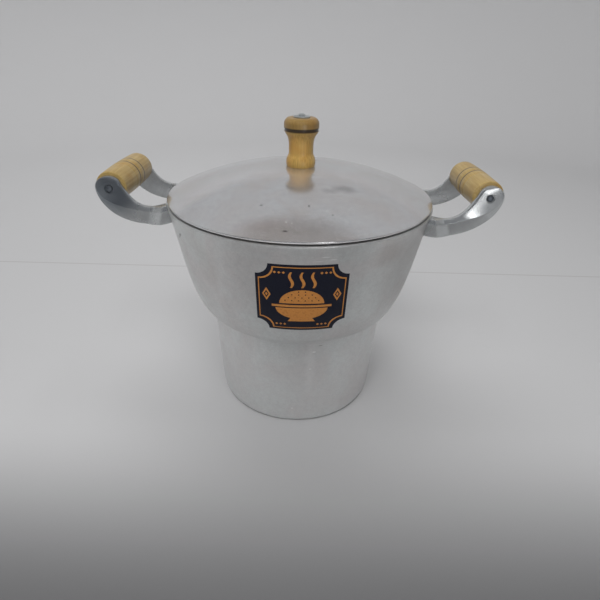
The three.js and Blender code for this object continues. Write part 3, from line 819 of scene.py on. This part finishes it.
foot_middle = (edge_height(upper_edge, foot_start) + edge_height(lower_edge, foot_start)) / 2
head_reach = rivet_head_radius + (wall + rivet_seat_gap) * math.sin(wall_lean(skirt_bottom))
highest_pair = skirt_bottom - rivet_seat_gap - head_reach - rivet_spacing / 2
head_seat = -wall - rivet_head_gap
rivet_head = arc_points((0, head_seat), (rivet_head_radius, -rivet_head_height), 90, 0, 8)
rivet_profile = [*rivet_head, (rivet_radius, head_seat), (rivet_radius, rivet_grip), (0, rivet_grip)]
for corner, sign_x, sign_y, foot_lift in arm_corners:
    pair_height = min(foot_middle + lift_at(foot_start, foot_lift), highest_pair)
    for row, offset in (("lower", -rivet_spacing / 2), ("upper", rivet_spacing / 2)):
        height = pair_height + offset
        out = wall_radius(height)
        lean, swing = wall_lean(height), math.asin((arm_inner + rivet_inset) / out)
        out_x, out_y = sign_x * math.cos(swing), sign_y * math.sin(swing)
        outward = Vector((out_x * math.cos(lean), out_y * math.cos(lean), -math.sin(lean)))
        rivet = mesh_piece(f"{corner}_{row}_rivet", turned(rivet_profile, 24), fettled_arm)
        placed = Matrix.Translation((out_x * out, out_y * out, height))
        rivet.data.transform(placed @ outward.to_track_quat("Z", "Y").to_matrix().to_4x4())
        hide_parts(f"{corner}_rivet_{row}")
        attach(rivet, "pot")

# Grips
# Two barrels of pale wood, turned between centres, scored with two lines that a wire burnt dark while
# they spun, and dipped in clear varnish. Each turns freely on its bolt between two arms.
grip_radius = 0.0136
grip_end_radius = 0.0128
grip_end_round = 0.0009
grip_line_depth = 0.0004
grip_line_width = 0.0014
grip_line_spacing = 0.0115
grip_line_shift = 0.0045


def varnished_wood(name, along, tone, burnt_rings, burnt_width, darkened_stretches=()):
    """Pale pine under clear varnish: straight yellow grain along the turning, warmer in patches where
    the varnish pooled, with a thin gloss. Rings burnt by a wire are almost black. The wood darkens across
    each stretch given as (from, to, colour, depth) along the turning, and stays darker beyond it."""
    grain_width, grain_length, patch, grain_depth = 0.0013, 0.045, 0.016, 0.0001
    material, tree, place = new_material(name)
    stretched = add_node(tree, "ShaderNodeMapping", {
        "Scale": tuple(1 / (grain_length if axis == along else grain_width) for axis in "XYZ"),
    }, {"Vector": place})
    streaks = add_node(tree, "ShaderNodeTexNoise", {
        "Scale": 1.0, "Detail": 4, "Roughness": 0.62, "Distortion": 0.5,
    }, {"Vector": stretched})
    patches = add_node(tree, "ShaderNodeTexNoise", {"Scale": 1 / patch, "Detail": 3}, {"Vector": place})
    colour = tinted(tree, tone[0], tone[1], streaks, 0.36, 0.66)
    colour = tinted(tree, colour, tone[2], patches, 0.5, 0.72, 0.45)
    run = add_node(tree, "ShaderNodeSeparateXYZ", links={"Vector": place}).outputs[along]
    for first, last, tint, depth in darkened_stretches:
        colour = tinted(tree, colour, tint, run, first, last, depth)
    for ring in burnt_rings:
        away = away_from(tree, run, ring)
        colour = tinted(tree, colour, "#1A100C", away, burnt_width * 0.75, burnt_width * 0.42, 0.93)
    gloss = add_node(tree, "ShaderNodeMapRange", {
        "From Min": 0.3, "From Max": 0.7, "To Min": 0.34, "To Max": 0.5,
    }, {"Value": patches})
    bump = add_node(tree, "ShaderNodeBump", {"Strength": 0.25, "Distance": grain_depth}, {"Height": streaks})
    give_surface(tree, {"IOR": 1.5, "Coat Weight": 0.35, "Coat Roughness": 0.22}, {
        "Base Color": colour, "Roughness": gloss, "Normal": bump,
    })
    return material


def barrel(along):
    """The grip's radius at a place along it: widest in the middle."""
    return grip_radius - (grip_radius - grip_end_radius) * (along / grip_half) ** 2


grip_lines = (grip_line_shift - grip_line_spacing / 2, grip_line_shift + grip_line_spacing / 2)
burnt_grip_wood = varnished_wood(
    "varnished_pine_grip", "Y", ("#B69C64", "#9E8349", "#A67E3E"), grip_lines, grip_line_width
)
side_corners = [(barrel(along), along) for along in even_steps(-grip_half, grip_half, 12)[1:-1]]
for line in grip_lines:
    half = grip_line_width / 2
    side_corners += [
        (barrel(line - half), line - half), (barrel(line) - grip_line_depth, line, 0.0003),
        (barrel(line + half), line + half),
    ]
side_corners.sort(key=lambda corner: corner[1])
grip_profile = rounded(
    [(bore, -grip_half), (grip_end_radius, -grip_half, grip_end_round)]
    + side_corners
    + [(grip_end_radius, grip_half, grip_end_round), (bore, grip_half), (bore, -grip_half)]
)
for side, sign_x in sides:
    grip = mesh_piece(f"{side}_wooden_grip", turned(grip_profile, 96), burnt_grip_wood)
    grip.data.transform(along_y(sign_x * grip_axis.x, grip_axis.z))
    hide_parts(f"{side}_grip")
    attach(grip, f"{side}_handle")

# Grip bolts
# A zinc-plated steel bolt goes through each grip and its two arms. Its low round head sits in the
# recess of the front arm, and a hexagon nut closes it at the rear.
bolt_seat = arm_seat + bolt_clearance
bolt_head_height = 0.0018
nut_height = 0.0032
bolt_tail = 0.0015
edge_chamfer = 0.0003


def plated_steel(name, tone):
    """Zinc-plated mild steel: a cool grey that is duller than chrome, with soft smudges."""
    smudge = 0.0022
    material, tree, place = new_material(name)
    smudges = add_node(tree, "ShaderNodeTexNoise", {
        "Scale": 1 / smudge, "Detail": 4, "Roughness": 0.6,
    }, {"Vector": place})
    gloss = add_node(tree, "ShaderNodeMapRange", {"To Min": 0.42, "To Max": 0.6}, {"Value": smudges})
    give_surface(tree, {"Metallic": 0.8}, {
        "Base Color": tinted(tree, tone[0], tone[1], smudges, 0, 1), "Roughness": gloss,
    })
    return material


def cut_from_plate(outlines, bottom, height):
    """A flat piece: the first outline is its edge and the others are holes. Its edges are broken."""
    made = bmesh.new()
    fill_outlines(made, outlines, bottom)
    thicken(made, height)
    rims = [edge for edge in made.edges if edge.calc_face_angle(0) > math.radians(60)]
    rims = [edge for edge in rims if abs(edge.verts[0].co.z - edge.verts[1].co.z) < height / 2]
    bmesh.ops.bevel(made, geom=rims, offset=edge_chamfer, segments=2, affect="EDGES", profile=0.5)
    return made


def hexagon_nut(radius, hole, bottom, height):
    """A hexagon nut with a plain hole."""
    return cut_from_plate([even_outline(radius, 6), even_outline(hole, 24)], bottom, height)


# A darker copy of the same plated steel: painted shade for the grip bolts and nuts set on the arms. The stem
# nut under the plate takes it too.
shaded_plating = plated_steel("shaded_zinc_plated_steel", ("#858B92", "#5B6168"))
nut_bottom = -bolt_seat - nut_height
bolt_profile = [
    (0, nut_bottom - bolt_tail), (grip_bolt_radius, nut_bottom - bolt_tail), (grip_bolt_radius, bolt_seat),
    *arc_points((0, bolt_seat), (bolt_head_radius, bolt_head_height), 0, 90, 8),
]
for side, sign_x in sides:
    nut = hexagon_nut(nut_radius, bore, nut_bottom, nut_height)
    for node, made in ((f"{side}_grip_bolt", turned(bolt_profile, 32)), (f"{side}_grip_nut", nut)):
        fastener = mesh_piece(f"{node}_plated", made, shaded_plating)
        fastener.data.transform(along_y(sign_x * grip_axis.x, grip_axis.z))
        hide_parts(node)
        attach(fastener, "pot")

# Steam plate
# A loose aluminium disc with rings of drilled holes. It lies on the ledge between the water and the
# bowl, and the couscous lies on it. A nut under it holds the stem.
plate_low, plate_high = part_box("steam_plate")
plate_radius = plate_high.x
steam_hole_radius = 0.0026
steam_hole_pitch = 0.018
steam_hole_margin = 0.01
collar_radius = 0.0065
stem_radius = 0.003
stem_clearance = 0.0003
stem_bore = stem_radius + stem_clearance

plate_metal = cast_aluminium(
    "drilled_cast_aluminium", ("#CACBCD", "#BDBBBA", "#9A9A9B"), (0.3, 0.45), 0.00003
)
plate_outlines = [even_outline(plate_radius, 180), even_outline(stem_bore, 32)]
last_row = plate_radius - steam_hole_margin
for row in range(int((last_row - collar_radius) / steam_hole_pitch)):
    row_radius = last_row - row * steam_hole_pitch
    count = round(2 * math.pi * row_radius / steam_hole_pitch)
    for centre in even_outline(row_radius, count, first=180 * row / count):
        plate_outlines.append(even_outline(steam_hole_radius, 20, centre))
plate_sheet = cut_from_plate(plate_outlines, plate_low.z, plate_high.z - plate_low.z)
plate = mesh_piece("perforated_plate", plate_sheet, plate_metal)
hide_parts("steam_plate")
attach(plate, "plate")

# Lifting stem and pull ring
# A turned aluminium rod with a collar stands on the plate, and a cast ring is screwed on its top, so
# that the hot plate can be lifted out with a fork or a hook.
stem_low, stem_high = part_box("lifting_stem")
collar_height = 0.005
ring_low, ring_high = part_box("pull_ring")
ring_wire = 0.0027
ring_radius = (ring_high.x - ring_low.x) / 2 - ring_wire
boss_radius = 0.0046
boss_height = 0.01
stem_nut_radius = 0.0056
stem_nut_height = 0.0045

stem_profile = rounded([
    (0, stem_low.z), (stem_radius, stem_low.z, 0.0004), (stem_radius, plate_high.z),
    (collar_radius, plate_high.z, 0.0003), (collar_radius, plate_high.z + collar_height / 2, 0.0006),
    (stem_radius, plate_high.z + collar_height, 0.0005), (stem_radius, stem_high.z, 0.0004),
    (0, stem_high.z),
])
stem = mesh_piece("turned_stem", turned(stem_profile, 40), plate_metal)
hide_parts("lifting_stem")

ring_section = even_outline(ring_wire, 20, (ring_radius, 0))
ring_piece = mesh_piece("cast_pull_ring", turned([*ring_section, ring_section[0]], 64), plate_metal)
ring_piece.data.transform(along_y(0, ring_high.z - ring_radius - ring_wire))
boss_top = ring_low.z + boss_height
boss_roof = stem_high.z + stem_clearance
boss_profile = rounded([
    (stem_bore, ring_low.z), (boss_radius, ring_low.z, 0.0006),
    (boss_radius, boss_top - boss_height / 4, 0.002), (stem_radius * 0.6, boss_top, 0.0008),
    (0, boss_top), (0, boss_roof), (stem_bore, boss_roof), (stem_bore, ring_low.z),
])
boss = mesh_piece("ring_boss", turned(boss_profile, 40), plate_metal)
combine(ring_piece, boss, "UNION")
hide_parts("pull_ring")
for piece in (stem, ring_piece):
    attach(piece, "plate")

stem_hexagon = hexagon_nut(stem_nut_radius, stem_bore, plate_low.z - stem_nut_height, stem_nut_height)
stem_nut = mesh_piece("stem_nut_plated", stem_hexagon, shaded_plating)
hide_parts("stem_nut")
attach(stem_nut, "plate")

# Lid
# A domed aluminium casting whose edge lies on the rim, with a short skirt inside it. Its lip stands a
# little off the rim, which leaves a dark line all round, deepened by painted shade on the faces in the seam,
# and its top is buffed brighter than the wall.
lid_low, lid_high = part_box("lid_plate")
lid_radius = lid_high.x
lid_edge = 0.003
lid_thickness = 0.0026
lid_skirt_thickness = 0.0025
lip_gap = 0.0013
lip_width = 0.0022
lid_rest = rim_height + 0.00005
lip_bottom = rim_height + lip_gap
lip_start = lid_radius - lip_width
dome_start = lid_radius - 0.0006
skirt_clearance = 0.001
knob_base_radius = 0.013
lid_seat_radius = knob_base_radius + 0.0003
knob_bore = 0.0019


def lid_height(radius):
    """The height of the lid's top: level under the knob, then a round fall to the edge."""
    share = max(radius - lid_seat_radius, 0) / (lid_radius - lid_seat_radius)
    return lid_high.z - (lid_high.z - rim_height - lid_edge) * share**2


def painted_seam_shade():
    """Painted shade for the seam under the lid's lip, where the gap lies in shadow: dark grey, rough and
    without shine.
    """
    seam_mottle = 0.002
    material, tree, place = new_material("painted_seam_shade")
    seam_mottles = add_node(tree, "ShaderNodeTexNoise", {"Scale": 1 / seam_mottle, "Detail": 3}, {"Vector": place})
    colour = tinted(tree, "#25221F", "#5A5550", seam_mottles, 0, 1)
    give_surface(tree, {"Roughness": 0.9}, {"Base Color": colour})
    return material


skirt_outer = bowl_point(bowl_share(lid_low.z, wall), wall).x - skirt_clearance
skirt_inner = skirt_outer - lid_skirt_thickness
dome_top = [(out, lid_height(out)) for out in even_steps(dome_start, lid_seat_radius, 40)[1:]]
dome_under = []
for out in even_steps(lid_seat_radius, skirt_inner, 40):
    dome_under.append((out, lid_height(out) - lid_thickness))
lid_profile = rounded(
    [(skirt_inner, lid_low.z), (skirt_outer, lid_low.z, 0.0005), (skirt_outer, lid_rest)]
    + [(lip_start, lid_rest), (lip_start, lip_bottom, 0.0003), (lid_radius, lip_bottom, 0.0005)]
    + [(lid_radius, rim_height + lid_edge, 0.0007), *dome_top, (knob_bore, lid_high.z)]
    + [(knob_bore, lid_high.z - lid_thickness), *dome_under, (skirt_inner, lid_low.z)]
)
lid_marks = [
    ((0.0363, -0.0516, 0.229), (0.013, 0.008, 0.006), scratch, 0.34),
    ((0.024, -0.0582, 0.229), (0.009, 0.005, 0.006), scratch, 0.2),
    # Painted reflection: brown and pinkish marks along the lid's front edge, and a brown mark along its left
    # edge.
    ((0.0012, -0.104, 0.2158), (0.05, 0.014, 0.02), stain_and_painted_reflection, 0.13),
    ((-0.0288, -0.102, 0.2146), (0.024, 0.011, 0.02), "#8F6458", 0.13),
    ((-0.092, -0.0585, 0.2146), (0.024, 0.03, 0.02), stain_and_painted_reflection, 0.1),
    ((0.0074, -0.0816, 0.224), (0.0009, 0.0012, 0.001), speck, 0.95),
    ((-0.0287, -0.0799, 0.2233), (0.0017, 0.0009, 0.001), speck, 0.75),
    ((0.0252, -0.0899, 0.2204), (0.0007, 0.001, 0.001), speck, 0.75),
    ((0.0107, -0.0289, 0.2336), (0.002, 0.0016, 0.001), scratch, 0.5),
    ((-0.0094, -0.1089, 0.2143), (0.0026, 0.0009, 0.0012), speck, 0.8),
    # Painted highlights: two small white glints on the lid's front.
    ((-0.009, -0.1001, 0.2178), (0.001, 0.0014, 0.0012), painted_highlight, 0.6),
    ((-0.0047, -0.1015, 0.2175), (0.0009, 0.0012, 0.0012), painted_highlight, 0.6),
]
buffed_lid = cast_aluminium(
    "buffed_lid_aluminium", ("#E2E3E5", "#DEDAD8", "#C9C8C9"), (0.14, 0.22), 0.00001, lid_marks, 0.82
)

lid = mesh_piece("domed_lid", turned(lid_profile, turned_facets), buffed_lid)
# The faces in the seam under the lip get the painted shade.
lid.data.materials.append(painted_seam_shade())
seam_margin = 0.0004
for polygon in lid.data.polygons:
    out = math.hypot(polygon.center.x, polygon.center.y)
    if out > lip_start - seam_margin and polygon.center.z < lip_bottom + 0.0001:
        polygon.material_index = 1
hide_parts("lid_plate")
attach(lid, "lid")

# Knob
# Turned from the same pale wood as the grips: a waist for two fingers, a head that rolls over, and one
# ring burnt black under it. The varnish has pooled orange at the foot and round the head.
knob_low, knob_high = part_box("knob")
knob_head_radius = 0.0152
knob_neck_radius = 0.0108
knob_top_radius = 0.0116
knob_groove_share = 0.74
knob_groove_height = 0.0023
knob_groove_depth = 0.0005
waist_shares = [
    (0.05, 0.05), (0.15, 0), (0.25, 0.35), (0.36, 0.94), (0.5, 1),
    (0.68, 0.96), (0.82, 0.74), (0.92, 0.35), (1, 0),
]
crown_shares = [(1, 0), (1, 0.45), (0.9, 0.62), (0.75, 0.75), (0.4, 0.92), (0, 1)]


def smooth_run(points, steps):
    """A smooth curve through the points, with as many steps from each to the next."""
    run = []
    for index in range(len(points) - 1):
        a, b = points[max(index - 1, 0)], points[index]
        c, d = points[index + 1], points[min(index + 2, len(points) - 1)]
        square, cube = a * 2 - b * 5 + c * 4 - d, b * 3 - a - c * 3 + d
        for share in even_steps(0, 1, steps)[:-1]:
            run.append((b * 2 + (c - a) * share + square * share**2 + cube * share**3) / 2)
    return [*run, points[-1]]


groove_bottom = knob_low.z + (knob_high.z - knob_low.z) * knob_groove_share
groove_top = groove_bottom + knob_groove_height
waist = []
for up, neck in waist_shares:
    widest = knob_base_radius if up < 0.5 else knob_head_radius
    height = knob_low.z + (groove_bottom - knob_low.z) * up
    waist.append(Vector((widest + (knob_neck_radius - widest) * neck, height)))
crown = []
for out, up in crown_shares:
    height = groove_top + (knob_high.z - groove_top) * up
    crown.append(Vector((knob_top_radius + (knob_head_radius - knob_top_radius) * out, height)))
groove_floor = knob_head_radius - knob_groove_depth
knob_profile = rounded(
    [(knob_bore, knob_low.z), (knob_base_radius - knob_groove_depth, knob_low.z, 0.0003)]
    + smooth_run(waist, 8)
    + [(groove_floor - knob_groove_depth / 2, groove_bottom + knob_groove_depth / 2, 0.0003)]
    + [(groove_floor, groove_top, 0.0002)]
    + smooth_run(crown, 6)
    + [(knob_bore, knob_high.z), (knob_bore, knob_low.z)]
)
burnt_ring = (groove_bottom + groove_top) / 2 + 0.0002
burnt_knob_wood = varnished_wood(
    "varnished_pine_knob", "Z", ("#CFAA60", "#B28F4C", "#C28A3E"), (burnt_ring,), knob_groove_height * 1.1,
    # The knob's head is darker from its groove up.
    [(groove_bottom - 0.001, groove_top + 0.001, "#665030", 0.65)],
)
knob = mesh_piece("wooden_knob", turned(knob_profile, 96), burnt_knob_wood)
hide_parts("knob")
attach(knob, "lid")

# Knob bolt, washers and nut
# A zinc-plated bolt goes down through the knob and the lid. One washer lies on the knob, and another
# lies under the lid with a hexagon nut, which draws the knob down.
knob_bolt_radius = 0.0016
knob_bolt_head_radius = 0.0031
# A brighter copy of the same plated steel: painted light on the knob's bolt, washers and nut.
lit_plating = plated_steel("lit_zinc_plated_steel", ("#D6DADB", "#B0B5B6"))
bolt_low, bolt_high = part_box("knob_bolt")
washer_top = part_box("knob_washer")[1].z
bolt_run = rounded([
    (0, bolt_low.z), (knob_bolt_radius, bolt_low.z, 0.0004), (knob_bolt_radius, washer_top)
]) + arc_points((0, washer_top), (knob_bolt_head_radius, bolt_high.z - washer_top), 0, 90, 8)
nut_low, nut_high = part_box("knob_nut")
lid_fasteners = {
    "knob_bolt": turned(bolt_run, 40),
    "knob_nut": hexagon_nut(nut_high.x, knob_bore, nut_low.z, nut_high.z - nut_low.z),
}
for node in ("knob_washer", "lid_washer"):
    low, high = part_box(node)
    lid_fasteners[node] = turned(rounded([
        (knob_bore, low.z), (high.x, low.z, 0.0002), (high.x, high.z, 0.0005), (knob_bore, high.z),
        (knob_bore, low.z),
    ]), 48)
for node, made in lid_fasteners.items():
    fastener = mesh_piece(f"{node}_plated", made, lit_plating)
    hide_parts(node)
    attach(fastener, "lid")
